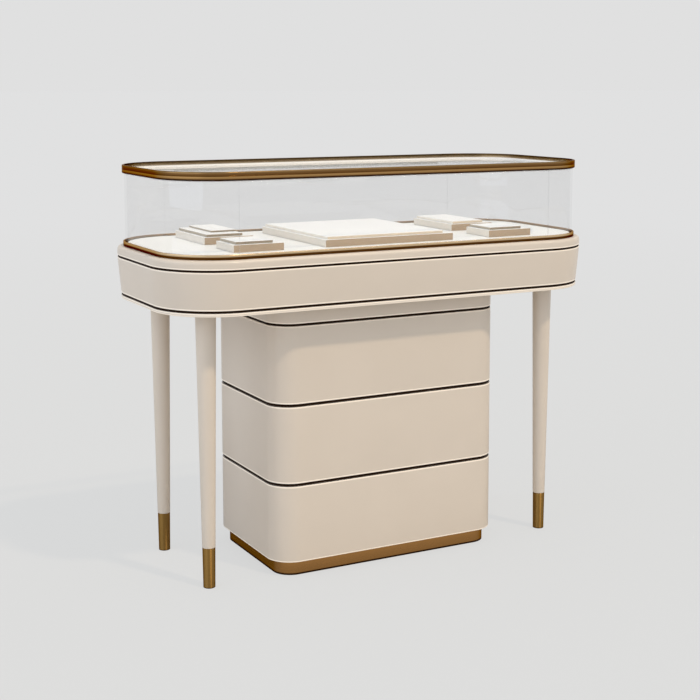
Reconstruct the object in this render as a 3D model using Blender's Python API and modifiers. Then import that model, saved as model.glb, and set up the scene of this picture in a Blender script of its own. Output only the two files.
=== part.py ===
"""Glass jewelry showcase: a rounded display well with a hinged glass lid, on a lacquered body that
stands on four turned legs and on a cabinet of three drawers.

Metres, +Z up. The origin is on the floor under the middle of the body. The long front faces -Y.
"""

import math

import bmesh
import bpy
from mathutils import Matrix

HEIGHT = 1.0051         # floor to the top of the closed lid

# Fits
FIT = 0.0003            # gap between pieces that seat on each other
SLIDE_GAP = 0.002       # running gap between a drawer shell and the carcass
SEAM = 0.0008           # gap between a drawer shell and the back panel behind it

# Cabinet, plan and heights
CAB_LENGTH = 0.640
CAB_DEPTH = 0.3975
CAB_RADIUS = 0.0646
SKIN = 0.014            # thickness of the drawer shells, back panels and neck
PLINTH_HEIGHT = 0.038
PLINTH_SETBACK = 0.017
PLINTH_WALL = 0.003
BANDS = ("lower", "middle", "upper")
CAB_LINE = 0.0062       # dark gap between two bands of the cabinet
NECK_HEIGHT = 0.0413
PANEL = 0.014           # carcass boards
BASE_BOARD = 0.012
RAIL_GAP = 0.0008       # gap between a front rail and the shells over and under it
RAIL_REVEAL = 0.0015    # edge of a front rail behind the face of the shells

# Drawers: grooved boxes that run on strips
BOX_GAP = 0.003         # room between carcass side and drawer box
BOX_WALL = 0.012
BOX_FLOOR = 0.008
BOX_LIFT = 0.014        # underside of the box over the shell's lower edge
BOX_HEADROOM = 0.0287   # upper edge of the box under the shell's upper edge
BOX_REAR_GAP = 0.010
STRIP_HEIGHT = 0.020
STRIP_LENGTH = 0.250
STRIP_LIFT = 0.080      # lower edge of a strip over the shell's lower edge
GROOVE_DEPTH = 0.006
RUN_FIT = 0.0005        # running gap between strip and groove
BACK_GROOVE = 0.004     # depth of the dark lines in the back panel

# Body, plan and heights
BODY_LENGTH = 1.200
BODY_DEPTH = 0.544
BODY_RADIUS = 0.168
BODY_TAPER = 0.008      # how far the foot of the apron draws in
BODY_LINE = 0.0048      # height of a dark inlay
INLAY_SINK = 0.0015
INLAY_WIDTH = 0.030
BASE_BAND = 0.0089
BASE_ROUND = 0.003
APRON_HEIGHT = 0.0907
APRON_WALL = 0.018
CAP_HEIGHT = 0.0219
CAP_ROUND = 0.010

# Glass well
HOOD_INSET = 0.015      # brass rings behind the body's outline
RING_WALL = 0.005
RING_HEIGHT = 0.0115
RING_ROUND = 0.0015
GLASS = 0.006
GLASS_HEIGHT = 0.178
GLASS_SEAM = 0.0006
DECK = 0.0067
GASKET = 0.0022

# Lid
LID_HEIGHT = 0.0205
LID_WALL = 0.006
LID_ROUND = 0.0028
LEDGE_WIDTH = 0.010
LEDGE = 0.0014
LID_GLASS = 0.005
LED_WIDTH = 0.004
LED_HEIGHT = 0.002

# Hinge: two leaves with knuckles in turn along the rear, on one long pin
KNUCKLES = 9
KNUCKLE_RADIUS = 0.0035
KNUCKLE_GAP = 0.0005
KNUCKLE_SIDES = 12
PIN_RADIUS = 0.0014
HINGE_MARGIN = 0.030    # hinge end from the start of the round corner
HINGE_STANDOFF = 0.005  # hinge line behind the lid frame
HINGE_DROP = 0.0015     # hinge line under the lid frame
LEAF = 0.0016
LEAF_CLEARANCE = 0.0006
LEAF_HEIGHT = 0.004

# Legs
LEG_INSET_X = 0.118     # middle of a leg from the body's end
LEG_INSET_Y = 0.116     # middle of a leg from the body's front or rear
LEG_TOP_RADIUS = 0.02485
LEG_FOOT_RADIUS = 0.016
FERRULE_HEIGHT = 0.099
FERRULE_TOP_RADIUS = 0.0157
FERRULE_FOOT_RADIUS = 0.0145
FERRULE_EDGE = 0.001
SPIGOT_RADIUS = 0.009
SPIGOT_LENGTH = 0.040

# Display risers: a low block with a thin board on it, all wrapped in cloth
RISER_BLOCK = 0.018
RISER_BOARD = 0.0065
BOARD_LEFT = 0.008      # margins of a board on its block
BOARD_RIGHT = 0.026
BOARD_FRONT = 0.007
BOARD_REAR = 0.003
STEP_BOARD = 0.0045     # second board on the left back riser
STEP_LEFT = 0.028       # its margins on the board under it
STEP_FRONT = 0.040
RISER_ROUND = 0.0012
CENTRE_RISER = (0.362, 0.378)
FRONT_RISER = (0.130, 0.110)
BACK_RISER = (0.130, 0.203)
RISER_END = 0.179       # outer edge of an end riser from the body's end
RISER_FRONT = 0.085     # front edge of a front riser from the body's front
RISER_REAR = 0.0725     # rear edge of a back riser from the body's rear

# Power unit of the lighting, under the body behind the cabinet, with its socket to the rear
UNIT_SIZE = (0.160, 0.030, 0.036)
UNIT_REAR = 0.012       # rear of the unit from the body's rear
SOCKET_SIZE = (0.032, 0.018, 0.018)

# Roundness
BODY_STEPS = 10         # facets in a quarter turn of the body's corners
CAB_STEPS = 8
EDGE_STEPS = 4          # facets in a quarter round along an edge
TURN_STEPS = 24
SHARP_ANGLE = 30        # edges that turn more stay sharp, in degrees
WELD = 0.00001          # points nearer than this are one point

# Levels and places that follow from the sizes above
LID_FOOT = HEIGHT - LID_HEIGHT
GASKET_TOP = LID_FOOT - FIT
GLASS_TOP = GASKET_TOP - GASKET - FIT
GLASS_FOOT = GLASS_TOP - GLASS_HEIGHT
DECK_TOP = GLASS_FOOT + DECK
CAP_TOP = GLASS_FOOT - FIT
CAP_FOOT = CAP_TOP - CAP_HEIGHT
UPPER_LINE = CAP_FOOT - BODY_LINE
APRON_FOOT = UPPER_LINE - APRON_HEIGHT
LOWER_LINE = APRON_FOOT - BODY_LINE
BODY_FOOT = LOWER_LINE - BASE_BAND
NECK_FOOT = BODY_FOOT - NECK_HEIGHT
DRAWER_PITCH = (NECK_FOOT - PLINTH_HEIGHT) / len(BANDS)
DRAWER_HEIGHT = DRAWER_PITCH - CAB_LINE
BOX_HEIGHT = DRAWER_HEIGHT - BOX_LIFT - BOX_HEADROOM
GLASS_INSET = HOOD_INSET + RING_WALL + FIT
DECK_INSET = GLASS_INSET + GLASS + FIT
CARCASS_INSET = SKIN + SLIDE_GAP
CARCASS_HALF = CAB_LENGTH / 2 - CARCASS_INSET
CARCASS_BASE_TOP = PLINTH_HEIGHT + FIT + BASE_BOARD
CORNER_LINE = CAB_DEPTH / 2 - CAB_RADIUS
SIDE_FOOT = CARCASS_BASE_TOP + FIT
SIDE_TOP = BODY_FOOT - FIT
BOX_HALF = CARCASS_HALF - PANEL - BOX_GAP
BOX_CORNER = CAB_RADIUS - SKIN - 2 * FIT
BOX_FRONT = -CORNER_LINE - BOX_CORNER
BOX_REAR = CORNER_LINE - BOX_REAR_GAP
STRIP_FRONT = CORNER_LINE - FIT - STRIP_LENGTH
HINGE_Y = BODY_DEPTH / 2 - HOOD_INSET + HINGE_STANDOFF
HINGE_Z = LID_FOOT - HINGE_DROP


def clear_scene():
    for obj in list(bpy.data.objects):
        bpy.data.objects.remove(obj, do_unlink=True)
    for name in ("glass_jewelry_showcase", "cutters"):
        old = bpy.data.collections.get(name)
        if old:
            bpy.data.collections.remove(old)


clear_scene()
PARTS = bpy.data.collections.new("glass_jewelry_showcase")
CUTTERS = bpy.data.collections.new("cutters")
for group in (PARTS, CUTTERS):
    bpy.context.scene.collection.children.link(group)


def material(name, colour, roughness, metallic=0.0, alpha=1.0):
    mat = bpy.data.materials.new(name)
    mat.use_nodes = True
    shader = mat.node_tree.nodes["Principled BSDF"]
    shader.inputs["Base Color"].default_value = (*colour, 1.0)
    shader.inputs["Roughness"].default_value = roughness
    shader.inputs["Metallic"].default_value = metallic
    shader.inputs["Alpha"].default_value = alpha
    return mat


LACQUER = material("cream_lacquer", (0.66, 0.57, 0.47), 0.35)
BROWN = material("dark_brown_line", (0.010, 0.004, 0.002), 0.55)
BRASS = material("brushed_brass", (0.33, 0.21, 0.09), 0.30, metallic=1.0)
CLEAR = material("clear_glass", (0.92, 0.95, 0.94), 0.02, alpha=0.15)
WHITE = material("white_deck", (0.90, 0.89, 0.86), 0.50)
VELVET = material("cream_riser", (0.70, 0.62, 0.51), 0.80)
STEEL = material("zinc_steel", (0.55, 0.55, 0.56), 0.35, metallic=1.0)
BIRCH = material("drawer_board", (0.52, 0.42, 0.31), 0.60)
RUBBER = material("clear_rubber", (0.60, 0.60, 0.58), 0.50)
PLASTIC = material("black_plastic", (0.02, 0.02, 0.02), 0.45)
DIFFUSER = material("led_diffuser", (0.95, 0.94, 0.90), 0.40)


def add(name, mesh, mat, parent=None, cutter=False):
    """Put a mesh in the scene as a named part, or as a hidden cutter."""
    obj = bpy.data.objects.new(name, mesh)
    if cutter:
        CUTTERS.objects.link(obj)
        obj.hide_render = True
        obj.display_type = "WIRE"
        return obj
    PARTS.objects.link(obj)
    mesh.materials.append(mat)
    if parent:
        obj.parent = parent
        obj.matrix_parent_inverse.identity()
        for vertex in mesh.vertices:
            vertex.co -= parent.location
    return obj


def pivot(name, place):
    """An empty on a joint's axis, which carries the pieces that move with it."""
    empty = bpy.data.objects.new(name, None)
    empty.location = place
    PARTS.objects.link(empty)
    return empty


def arc(cx, cy, radius, start, end, steps):
    """Points of an arc from one angle to another, in degrees."""
    angles = [math.radians(start + (end - start) * i / steps) for i in range(steps + 1)]
    return [(cx + radius * math.cos(a), cy + radius * math.sin(a)) for a in angles]


def rounded(length, depth, radius, steps):
    """Outline of a rectangle with round corners, anticlockwise from the front right."""
    hx = length / 2 - radius
    hy = depth / 2 - radius
    corners = ((hx, -hy, -90), (hx, hy, 0), (-hx, hy, 90), (-hx, -hy, 180))
    points = []
    for cx, cy, start in corners:
        points += arc(cx, cy, radius, start, start + 90, steps)
    return points


def body_outline(inset):
    """Plan of the body, drawn in by an inset."""
    return rounded(BODY_LENGTH - 2 * inset, BODY_DEPTH - 2 * inset, BODY_RADIUS - inset, BODY_STEPS)


def cab_outline(inset):
    """Plan of the cabinet, drawn in by an inset."""
    return rounded(CAB_LENGTH - 2 * inset, CAB_DEPTH - 2 * inset, CAB_RADIUS - inset, CAB_STEPS)


def edge_round(inset, height, radius, start, end):
    """Profile points of a rounded edge about its centre. 0 degrees points outwards and 90 up."""
    return [(inset - x, height + y) for x, y in arc(0.0, 0.0, radius, start, end, EDGE_STEPS)]


def plate_mesh(name, outlines, foot, top):
    """A flat outline, with holes where there are more outlines, drawn up to a height."""
    curve = bpy.data.curves.new(name, "CURVE")
    curve.dimensions = "2D"
    curve.fill_mode = "BOTH"
    curve.extrude = (top - foot) / 2
    for outline in outlines:
        spline = curve.splines.new("POLY")
        spline.points.add(len(outline) - 1)
        for point, (x, y) in zip(spline.points, outline):
            point.co = (x, y, 0, 1)
        spline.use_cyclic_u = True
    drawn = bpy.data.objects.new(name, curve)
    PARTS.objects.link(drawn)
    bpy.context.view_layer.update()
    graph = bpy.context.evaluated_depsgraph_get()
    mesh = bpy.data.meshes.new_from_object(drawn.evaluated_get(graph))
    bpy.data.objects.remove(drawn)
    bpy.data.curves.remove(curve)
    bm = bmesh.new()
    bm.from_mesh(mesh)
    bmesh.ops.remove_doubles(bm, verts=bm.verts, dist=WELD)
    bmesh.ops.translate(bm, verts=bm.verts, vec=(0, 0, (top + foot) / 2))
    bmesh.ops.recalc_face_normals(bm, faces=bm.faces)
    bm.to_mesh(mesh)
    bm.free()
    return mesh


def loft_mesh(name, outline, profile, solid):
    """Carry a profile of (inset, height) points round an outline. A solid is closed by its first and
    last loops, and a ring joins its last loop to its first."""
    bm = bmesh.new()
    loops = []
    for inset, height in profile:
        loops.append([bm.verts.new((x, y, height)) for x, y in outline(inset)])
    count = len(loops[0])
    pairs = list(zip(loops, loops[1:]))
    if not solid:
        pairs.append((loops[-1], loops[0]))
    for low, high in pairs:
        for i in range(count):
            k = (i + 1) % count
            bm.faces.new((low[i], low[k], high[k], high[i]))
    if solid:
        bm.faces.new(reversed(loops[0]))
        bm.faces.new(loops[-1])
    bmesh.ops.recalc_face_normals(bm, faces=bm.faces)
    mesh = bpy.data.meshes.new(name)
    bm.to_mesh(mesh)
    bm.free()
    mesh.shade_smooth()
    mesh.set_sharp_from_angle(angle=math.radians(SHARP_ANGLE))
    return mesh


def box_mesh(name, boxes, bevel=0.0):
    """Boxes given by their lowest and highest corners, in one mesh."""
    bm = bmesh.new()
    for low, high in boxes:
        made = bmesh.ops.create_cube(bm, size=1.0)["verts"]
        size = [b - a for a, b in zip(low, high)]
        middle = [(a + b) / 2 for a, b in zip(low, high)]
        bmesh.ops.scale(bm, verts=made, vec=size)
        bmesh.ops.translate(bm, verts=made, vec=middle)
    if bevel:
        bmesh.ops.bevel(bm, geom=bm.edges[:], offset=bevel, segments=1, affect="EDGES")
    mesh = bpy.data.meshes.new(name)
    bm.to_mesh(mesh)
    bm.free()
    return mesh


def turned(name, profile, place, mat):
    """A profile of (radius, height) points from top to bottom, turned about a vertical axis."""
    mesh = bpy.data.meshes.new(name)
    points = [(radius, 0.0, height) for radius, height in profile]
    mesh.from_pydata(points, [(i, i + 1) for i in range(len(points) - 1)], [])
    obj = add(name, mesh, mat)
    obj.location = place
    screw = obj.modifiers.new("turn", "SCREW")
    screw.steps = TURN_STEPS
    screw.render_steps = TURN_STEPS
    screw.use_merge_vertices = True
    screw.merge_threshold = WELD
    screw.use_smooth_shade = True
    return obj


def rod_mesh(name, spans, radius):
    """Round rods on the hinge line, one for each span along X."""
    bm = bmesh.new()
    for low, high in spans:
        rod = bmesh.ops.create_cone(
            bm,
            cap_ends=True,
            segments=KNUCKLE_SIDES,
            radius1=radius,
            radius2=radius,
            depth=high - low,
        )["verts"]
        bmesh.ops.rotate(bm, verts=rod, matrix=Matrix.Rotation(math.pi / 2, 3, "Y"))
        bmesh.ops.translate(bm, verts=rod, vec=((low + high) / 2, HINGE_Y, HINGE_Z))
    mesh = bpy.data.meshes.new(name)
    bm.to_mesh(mesh)
    bm.free()
    return mesh


def boolean(obj, cutter, operation):
    cut = obj.modifiers.new(operation.lower(), "BOOLEAN")
    cut.object = cutter
    cut.operation = operation
    cut.solver = "EXACT"


def mirrored(outline):
    """The same outline on the other side of the middle, wound the same way round."""
    return [(-x, y) for x, y in reversed(outline)]


def make_plinth():
    outer = cab_outline(PLINTH_SETBACK)
    inner = cab_outline(PLINTH_SETBACK + PLINTH_WALL)
    add("plinth", plate_mesh("plinth", [outer, inner], 0.0, PLINTH_HEIGHT), BRASS)


def make_carcass():
    base = [cab_outline(CARCASS_INSET)]
    foot = PLINTH_HEIGHT + FIT
    add("carcass_base", plate_mesh("carcass_base", base, foot, CARCASS_BASE_TOP), BROWN)
    for side, name in ((-1, "carcass_left_side"), (1, "carcass_right_side")):
        xs = sorted((side * CARCASS_HALF, side * (CARCASS_HALF - PANEL)))
        box = ((xs[0], -CORNER_LINE, SIDE_FOOT), (xs[1], CORNER_LINE, SIDE_TOP))
        add(name, box_mesh(name, [box]), BROWN)
    # The back board is as wide as the round inside of the back panels lets it be.
    rear = CORNER_LINE + FIT + PANEL
    inner_radius = CAB_RADIUS - SKIN
    reach = math.sqrt(inner_radius ** 2 - (rear - CORNER_LINE) ** 2)
    half = CAB_LENGTH / 2 - CAB_RADIUS + reach - 2 * FIT
    back = ((-half, CORNER_LINE + FIT, SIDE_FOOT), (half, rear, SIDE_TOP))
    add("carcass_back", box_mesh("carcass_back", [back]), BROWN)
    make_rails()


def make_rails():
    """Front rails that fill the dark gaps: thin boards in front of the carcass sides, with an arm
    along the outside of each."""
    hx = CAB_LENGTH / 2 - CAB_RADIUS
    radius = CAB_RADIUS - RAIL_REVEAL
    rear = -CORNER_LINE - FIT
    tip = CORNER_LINE - SEAM
    out = hx + radius
    arm = CARCASS_HALF + FIT
    outline = arc(-hx, -CORNER_LINE, radius, 180, 270, CAB_STEPS)
    outline += arc(hx, -CORNER_LINE, radius, 270, 360, CAB_STEPS)
    outline += [(out, tip), (arm, tip), (arm, rear), (-arm, rear), (-arm, tip), (-out, tip)]
    for i, band in enumerate(BANDS):
        name = band + "_front_rail"
        top = PLINTH_HEIGHT + (i + 1) * DRAWER_PITCH
        foot = top - CAB_LINE + RAIL_GAP
        add(name, plate_mesh(name, [outline], foot, top - RAIL_GAP), BROWN)


def make_neck():
    outlines = [cab_outline(0.0), cab_outline(SKIN)]
    add("cabinet_neck", plate_mesh("cabinet_neck", outlines, NECK_FOOT, BODY_FOOT - FIT), LACQUER)


def skin_outline(tip_y):
    """A U in plan, open to the rear: the faces of a shell whose two sides end at tip_y."""
    hx = CAB_LENGTH / 2 - CAB_RADIUS
    outer = arc(-hx, -CORNER_LINE, CAB_RADIUS, 180, 270, CAB_STEPS)
    outer += arc(hx, -CORNER_LINE, CAB_RADIUS, 270, 360, CAB_STEPS)
    inner = arc(hx, -CORNER_LINE, CAB_RADIUS - SKIN, 360, 270, CAB_STEPS)
    inner += arc(-hx, -CORNER_LINE, CAB_RADIUS - SKIN, 270, 180, CAB_STEPS)
    out = CAB_LENGTH / 2
    right_tip = [(out, tip_y), (out - SKIN, tip_y)]
    left_tip = [(SKIN - out, tip_y), (-out, tip_y)]
    return outer + right_tip + inner + left_tip


def make_back_panel():
    """A shell turned to the rear, which goes on with the bands and has a groove for each dark gap."""
    outline = [(-x, -y) for x, y in skin_outline(-CORNER_LINE + FIT)]
    mesh = plate_mesh("back_panel", [outline], PLINTH_HEIGHT, NECK_FOOT - CAB_LINE)
    panel = add("back_panel", mesh, LACQUER)
    ring = [cab_outline(-SKIN), cab_outline(BACK_GROOVE)]
    for i, band in enumerate(BANDS[:-1]):
        top = PLINTH_HEIGHT + (i + 1) * DRAWER_PITCH
        groove = plate_mesh("groove", ring, top - CAB_LINE, top)
        boolean(panel, add(band + "_groove", groove, None, cutter=True), "DIFFERENCE")


def make_drawers():
    for i, band in enumerate(BANDS):
        foot = PLINTH_HEIGHT + i * DRAWER_PITCH
        slide = pivot(band + "_drawer_slide", (0.0, -CAB_DEPTH / 2, foot + DRAWER_HEIGHT / 2))
        shell = band + "_drawer_front"
        outline = skin_outline(CORNER_LINE - SEAM)
        add(shell, plate_mesh(shell, [outline], foot, foot + DRAWER_HEIGHT), LACQUER, slide)
        make_drawer_box(band, foot, slide)


def box_outline():
    """Plan of a drawer box, whose front corners follow the round inside of the shell."""
    hx = CAB_LENGTH / 2 - CAB_RADIUS
    turn = math.degrees(math.acos((BOX_HALF - hx) / BOX_CORNER))
    left = arc(-hx, -CORNER_LINE, BOX_CORNER, 180 + turn, 270, CAB_STEPS)
    right = arc(hx, -CORNER_LINE, BOX_CORNER, 270, 360 - turn, CAB_STEPS)
    return left + right + [(BOX_HALF, BOX_REAR), (-BOX_HALF, BOX_REAR)]


def make_drawer_box(band, foot, slide):
    """An open box with a groove along each side, and the two strips on the carcass that it runs on."""
    name = band + "_drawer_box"
    low = foot + BOX_LIFT
    well = (
        (BOX_WALL - BOX_HALF, BOX_FRONT + BOX_WALL, low + BOX_FLOOR),
        (BOX_HALF - BOX_WALL, BOX_REAR - BOX_WALL, low + BOX_HEIGHT + BOX_FLOOR),
    )
    box = add(name, plate_mesh(name, [box_outline()], low, low + BOX_HEIGHT), BIRCH, slide)
    boolean(box, add(name + "_well", box_mesh(name + "_well", [well]), None, cutter=True), "DIFFERENCE")
    z0 = foot + STRIP_LIFT
    z1 = z0 + STRIP_HEIGHT
    strip_rear = STRIP_FRONT + STRIP_LENGTH
    wall = CARCASS_HALF - PANEL - FIT
    tip = BOX_HALF - GROOVE_DEPTH
    for side, hand in ((-1, "left"), (1, "right")):
        xs = sorted((side * wall, side * tip))
        strip = f"{band}_{hand}_runner"
        ends = ((xs[0], STRIP_FRONT, z0), (xs[1], strip_rear, z1))
        add(strip, box_mesh(strip, [ends]), STEEL)
        xs = sorted((side * (tip - RUN_FIT), side * (BOX_HALF + BOX_WALL)))
        groove = ((xs[0], STRIP_FRONT - RUN_FIT, z0 - RUN_FIT), (xs[1], strip_rear, z1 + RUN_FIT))
        cutter = add(strip + "_groove", box_mesh(strip + "_groove", [groove]), None, cutter=True)
        boolean(box, cutter, "DIFFERENCE")


def make_body():
    base = edge_round(BODY_TAPER + BASE_ROUND, BODY_FOOT + BASE_ROUND, BASE_ROUND, -90, 0)
    base.append((BODY_TAPER, LOWER_LINE - FIT))
    add("body_base", loft_mesh("body_base", body_outline, base, True), LACQUER)
    inlays = (("lower_inlay", LOWER_LINE, BODY_TAPER), ("upper_inlay", UPPER_LINE, 0.0))
    for name, low, taper in inlays:
        outer = body_outline(taper + INLAY_SINK)
        inner = body_outline(taper + INLAY_SINK + INLAY_WIDTH)
        add(name, plate_mesh(name, [outer, inner], low, low + BODY_LINE), BROWN)
    inside = BODY_TAPER + APRON_WALL
    low = APRON_FOOT + FIT
    high = UPPER_LINE - FIT
    apron = [(inside, low), (BODY_TAPER, low), (0.0, high), (inside, high)]
    add("apron", loft_mesh("apron", body_outline, apron, False), LACQUER)
    make_cap()


def make_cap():
    """A board whose upper edge is a quarter round."""
    profile = [(0.0, CAP_FOOT + FIT)]
    profile += edge_round(CAP_ROUND, CAP_TOP - CAP_ROUND, CAP_ROUND, 0, 90)
    add("body_cap", loft_mesh("body_cap", body_outline, profile, True), LACQUER)


def make_well():
    inner = HOOD_INSET + RING_WALL
    top = GLASS_FOOT + RING_HEIGHT
    ring = [(inner, GLASS_FOOT), (HOOD_INSET, GLASS_FOOT)]
    ring += edge_round(HOOD_INSET + RING_ROUND, top - RING_ROUND, RING_ROUND, 0, 90)
    ring.append((inner, top))
    add("base_ring", loft_mesh("base_ring", body_outline, ring, False), BRASS)
    deck = [body_outline(DECK_INSET)]
    add("deck_panel", plate_mesh("deck_panel", deck, GLASS_FOOT, DECK_TOP), WHITE)
    gasket = [body_outline(GLASS_INSET), body_outline(GLASS_INSET + GLASS)]
    add("lid_gasket", plate_mesh("lid_gasket", gasket, GLASS_TOP + FIT, GASKET_TOP), RUBBER)
    make_glass()


def make_glass():
    """Flat panes at front and rear, and a bent pane round each end."""
    seam_x = BODY_LENGTH / 2 - BODY_RADIUS
    outer_y = BODY_DEPTH / 2 - GLASS_INSET
    for name, side in (("front_glass", -1), ("rear_glass", 1)):
        ys = sorted((side * outer_y, side * (outer_y - GLASS)))
        pane = ((-seam_x, ys[0], GLASS_FOOT), (seam_x, ys[1], GLASS_TOP))
        add(name, box_mesh(name, [pane]), CLEAR)
    cx = seam_x
    cy = BODY_DEPTH / 2 - BODY_RADIUS
    radius = BODY_RADIUS - GLASS_INSET
    outer = arc(cx, -cy, radius, -90, 0, BODY_STEPS) + arc(cx, cy, radius, 0, 90, BODY_STEPS)
    radius -= GLASS
    inner = arc(cx, cy, radius, 90, 0, BODY_STEPS) + arc(cx, -cy, radius, 0, -90, BODY_STEPS)
    bend = outer + inner
    for i in (0, len(outer) - 1, len(outer), -1):
        bend[i] = (seam_x + GLASS_SEAM, bend[i][1])
    add("right_end_glass", plate_mesh("right_end_glass", [bend], GLASS_FOOT, GLASS_TOP), CLEAR)
    add("left_end_glass", plate_mesh("left_end_glass", [mirrored(bend)], GLASS_FOOT, GLASS_TOP), CLEAR)


def make_lid():
    swing = pivot("lid_swing", (0.0, HINGE_Y, HINGE_Z))
    inner = HOOD_INSET + LID_WALL
    ledge = inner + LEDGE_WIDTH
    middle = HOOD_INSET + LID_ROUND
    profile = [(ledge, LID_FOOT)]
    profile += edge_round(middle, LID_FOOT + LID_ROUND, LID_ROUND, -90, 0)
    profile += edge_round(middle, HEIGHT - LID_ROUND, LID_ROUND, 0, 90)
    profile += [(inner, HEIGHT), (inner, LID_FOOT + LEDGE), (ledge, LID_FOOT + LEDGE)]
    add("lid_frame", loft_mesh("lid_frame", body_outline, profile, False), BRASS, swing)
    pane = [body_outline(inner + FIT)]
    low = LID_FOOT + LEDGE + FIT
    add("lid_glass", plate_mesh("lid_glass", pane, low, low + LID_GLASS), CLEAR, swing)
    half = BODY_LENGTH / 2 - BODY_RADIUS
    rear = ledge - BODY_DEPTH / 2
    top = LID_FOOT - FIT
    strip = ((-half, rear - LED_WIDTH, top - LED_HEIGHT), (half, rear, top))
    add("led_strip", box_mesh("led_strip", [strip]), DIFFUSER, swing)
    make_hinge(swing)


def make_hinge(swing):
    """Knuckles belong in turn to the leaf on the rear glass and to the leaf on the lid frame."""
    half = BODY_LENGTH / 2 - BODY_RADIUS - HINGE_MARGIN
    pitch = 2 * half / KNUCKLES
    gap = KNUCKLE_GAP / 2
    spans = [(i * pitch - half + gap, (i + 1) * pitch - half - gap) for i in range(KNUCKLES)]
    lid_back = BODY_DEPTH / 2 - HOOD_INSET + FIT
    glass_back = BODY_DEPTH / 2 - GLASS_INSET + FIT
    edge = KNUCKLE_RADIUS + LEAF_CLEARANCE
    web = KNUCKLE_RADIUS - LEAF
    # Each leaf: its plate, and the webs that carry its knuckles, by y and z from the hinge line.
    leaves = (
        ("fixed_hinge_leaf", spans[0::2], None,
         (glass_back, HINGE_Z - edge - LEAF_HEIGHT, glass_back + LEAF, HINGE_Z - web),
         (glass_back + LEAF / 2, HINGE_Z - KNUCKLE_RADIUS, HINGE_Y, HINGE_Z - web)),
        ("lid_hinge_leaf", spans[1::2], swing,
         (lid_back, HINGE_Z + edge, lid_back + LEAF, HINGE_Z + edge + LEAF_HEIGHT),
         (lid_back, HINGE_Z + web / 2, HINGE_Y - web, HINGE_Z + edge + LEAF / 2)),
    )
    bore = rod_mesh("hinge_bore", [(-half - LEAF, half + LEAF)], PIN_RADIUS + FIT)
    drill = add("hinge_bore", bore, None, cutter=True)
    for name, own, parent, plate, tab in leaves:
        ends = ((-half, plate[0], plate[1]), (half, plate[2], plate[3]))
        leaf = add(name, box_mesh(name, [ends]), STEEL, parent)
        tabs = [((x0, tab[0], tab[1]), (x1, tab[2], tab[3])) for x0, x1 in own]
        for kind, mesh in (
            ("tabs", box_mesh(name + "_tabs", tabs)),
            ("knuckles", rod_mesh(name + "_knuckles", own, KNUCKLE_RADIUS)),
        ):
            boolean(leaf, add(f"{name}_{kind}", mesh, None, cutter=True), "UNION")
        boolean(leaf, drill, "DIFFERENCE")
    add("hinge_pin", rod_mesh("hinge_pin", [(-half, half)], PIN_RADIUS), STEEL)


def make_legs():
    top = BODY_FOOT - FIT
    shoulder = FERRULE_HEIGHT + FIT
    leg = [
        (0.0, top),
        (LEG_TOP_RADIUS, top),
        (LEG_FOOT_RADIUS, shoulder),
        (SPIGOT_RADIUS, shoulder),
        (SPIGOT_RADIUS, shoulder - SPIGOT_LENGTH),
        (0.0, shoulder - SPIGOT_LENGTH),
    ]
    bore = SPIGOT_RADIUS + FIT
    ferrule = [
        (0.0, shoulder - SPIGOT_LENGTH - FIT),
        (bore, shoulder - SPIGOT_LENGTH - FIT),
        (bore, FERRULE_HEIGHT),
        (FERRULE_TOP_RADIUS - FERRULE_EDGE, FERRULE_HEIGHT),
        (FERRULE_TOP_RADIUS, FERRULE_HEIGHT - FERRULE_EDGE),
        (FERRULE_FOOT_RADIUS, FERRULE_EDGE),
        (FERRULE_FOOT_RADIUS - FERRULE_EDGE, 0.0),
        (0.0, 0.0),
    ]
    reach_x = BODY_LENGTH / 2 - LEG_INSET_X
    reach_y = BODY_DEPTH / 2 - LEG_INSET_Y
    for y_name, y_side in (("front", -1), ("back", 1)):
        for x_name, x_side in (("left", -1), ("right", 1)):
            place = (x_side * reach_x, y_side * reach_y, 0.0)
            turned(f"{y_name}_{x_name}_leg", leg, place, LACQUER)
            turned(f"{y_name}_{x_name}_ferrule", ferrule, place, BRASS)


def make_risers():
    front = RISER_FRONT - BODY_DEPTH / 2
    back = BODY_DEPTH / 2 - RISER_REAR - BACK_RISER[1]
    left = RISER_END - BODY_LENGTH / 2
    places = (
        ("centre", CENTRE_RISER, -CENTRE_RISER[0] / 2, -CENTRE_RISER[1] / 2),
        ("left_front", FRONT_RISER, left, front),
        ("left_back", BACK_RISER, left, back),
        ("right_front", FRONT_RISER, -left - FRONT_RISER[0], front),
        ("right_back", BACK_RISER, -left - BACK_RISER[0], back),
    )
    for name, (width, depth), x, y in places:
        riser = name + "_riser"
        low = DECK_TOP + FIT
        block = ((x, y, low), (x + width, y + depth, low + RISER_BLOCK))
        add(riser, box_mesh(riser, [block], RISER_ROUND), VELVET)
        low += RISER_BLOCK + FIT
        far = (x + width - BOARD_RIGHT, y + depth - BOARD_REAR)
        board = ((x + BOARD_LEFT, y + BOARD_FRONT, low), (*far, low + RISER_BOARD))
        add(riser + "_board", box_mesh(riser + "_board", [board], RISER_ROUND), VELVET)
        if name == "left_back":
            low += RISER_BOARD + FIT
            near = (x + BOARD_LEFT + STEP_LEFT, y + BOARD_FRONT + STEP_FRONT)
            step = ((*near, low), (*far, low + STEP_BOARD))
            add(riser + "_step", box_mesh(riser + "_step", [step], RISER_ROUND), VELVET)


def make_power_unit():
    length, depth, height = UNIT_SIZE
    top = BODY_FOOT - FIT
    rear = BODY_DEPTH / 2 - UNIT_REAR
    case = ((-length / 2, rear - depth, top - height), (length / 2, rear, top))
    unit = add("led_power_unit", box_mesh("led_power_unit", [case]), PLASTIC)
    width, deep, tall = SOCKET_SIZE
    middle = top - height / 2
    socket = ((-width / 2, rear - deep, middle - tall / 2), (width / 2, rear + deep, middle + tall / 2))
    boolean(unit, add("socket", box_mesh("socket", [socket]), None, cutter=True), "DIFFERENCE")


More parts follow.
